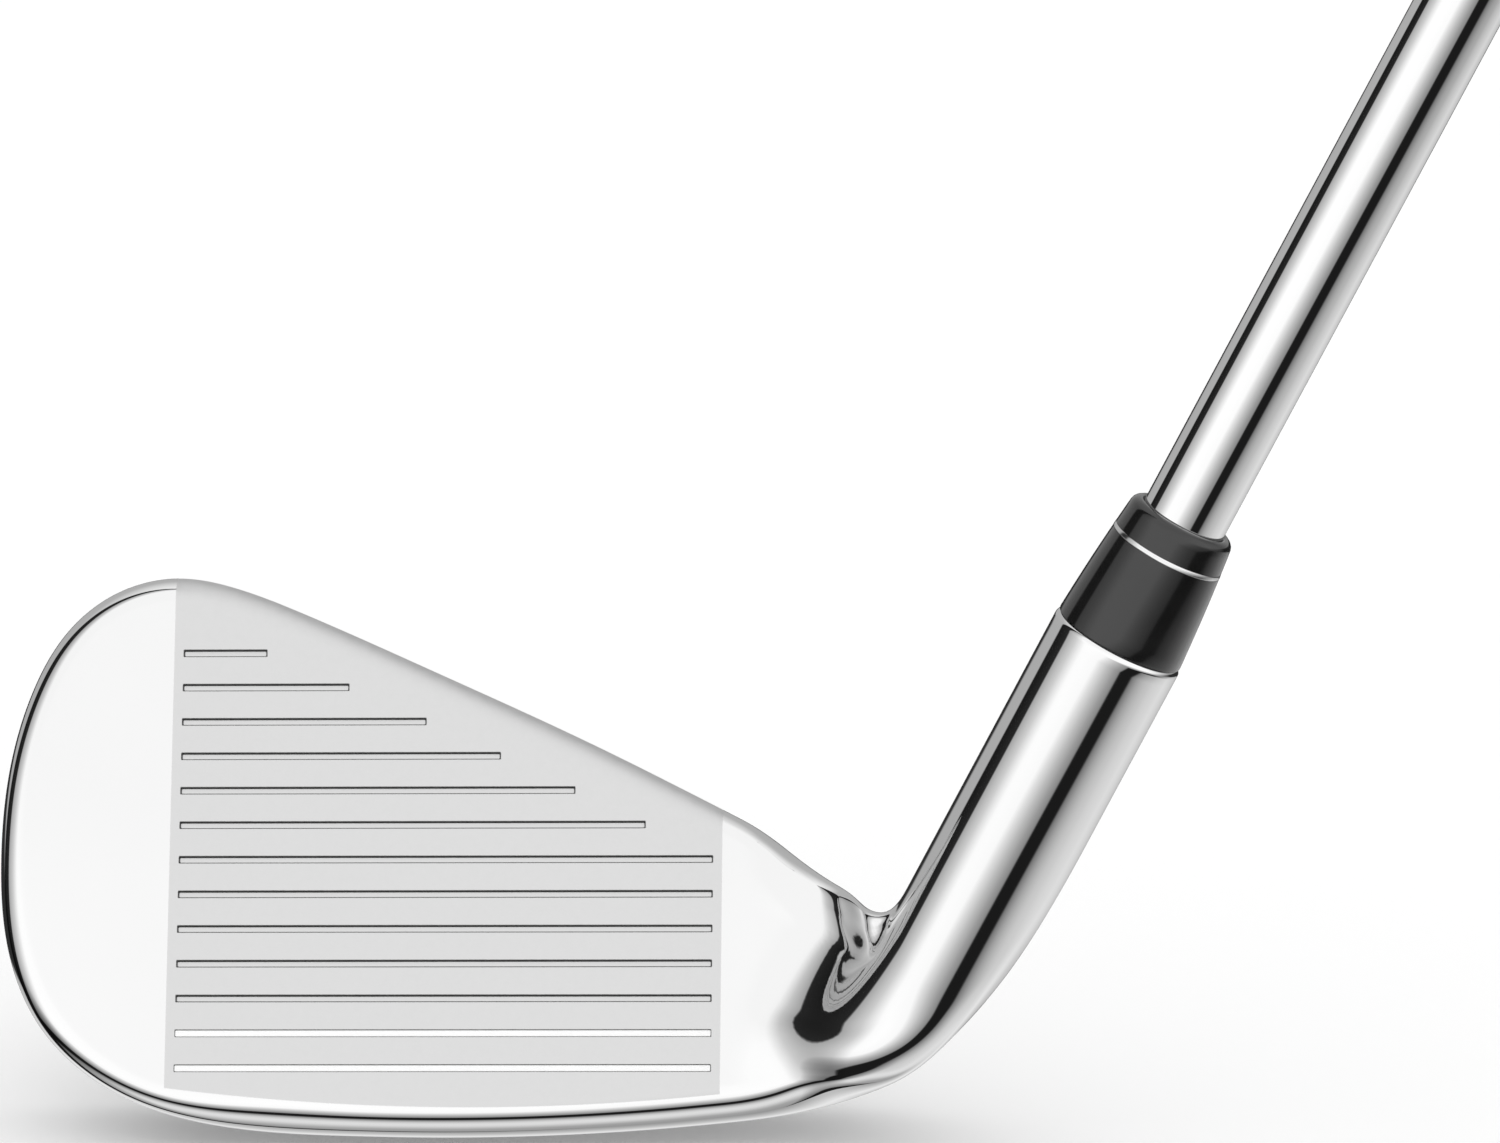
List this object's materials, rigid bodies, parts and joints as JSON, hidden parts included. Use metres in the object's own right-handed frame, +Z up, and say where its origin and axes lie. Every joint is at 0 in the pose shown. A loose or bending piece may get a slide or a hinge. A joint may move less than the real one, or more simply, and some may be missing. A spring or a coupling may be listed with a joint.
{
  "type": "iron golf club",
  "caption": "Right-handed iron golf club: cavity-back chrome head with a welded face plate, black ferrule, stepped steel shaft and rubber grip, at its address position.",
  "frame": {"origin": "where the shaft axis meets the ground at the heel, with the club at its address position (named mount lie_point)", "axes": "+Z up from the ground the sole touches, +X from the toe to the shaft, -Y towards the target, so the face looks along -Y and up by the loft"},
  "size_m": [0.5386, 0.0453, 0.8364],
  "materials": {
    "chrome": "polished chrome plate, with a fine blasted zone on the face side",
    "face_chrome": "chrome plate, fine blasted between the score lines' ends and polished at toe and heel",
    "white_fill": "white enamel",
    "tungsten": "sintered tungsten alloy",
    "urethane": "cast urethane",
    "foam_tape": "closed-cell foam tape",
    "badge_polymer": "moulded, fine textured",
    "badge_metal": "brushed and clear anodised",
    "epoxy": "cured epoxy",
    "ferrule_black": "polished cellulose acetate",
    "ring_silver": "bright",
    "shaft_chrome": "bright nickel-chrome plate",
    "tip_brass": "turned brass",
    "band_foil": "plain printed foil under clear coat",
    "tape": "paper-backed double-sided tape",
    "grip_rubber": "moulded rubber with a fine knurled pattern",
    "cap_rubber": "moulded, harder than the sleeve"
  },
  "bodies": {
    "root": {"head_body": "chrome", "face_plate": "face_chrome", "score_line_paint": "white_fill", "tungsten_weight": "tungsten", "urethane_damper": "urethane", "badge_adhesive": "foam_tape", "badge_base": "badge_polymer", "badge_plate": "badge_metal", "hosel_epoxy": "epoxy", "ferrule": "ferrule_black", "ferrule_ring": "ring_silver", "shaft": "shaft_chrome", "tip_weight": "tip_brass", "shaft_band": "band_foil", "grip_tape": "tape", "grip": "grip_rubber", "grip_cap": "cap_rubber"}
  },
  "joints": []
}
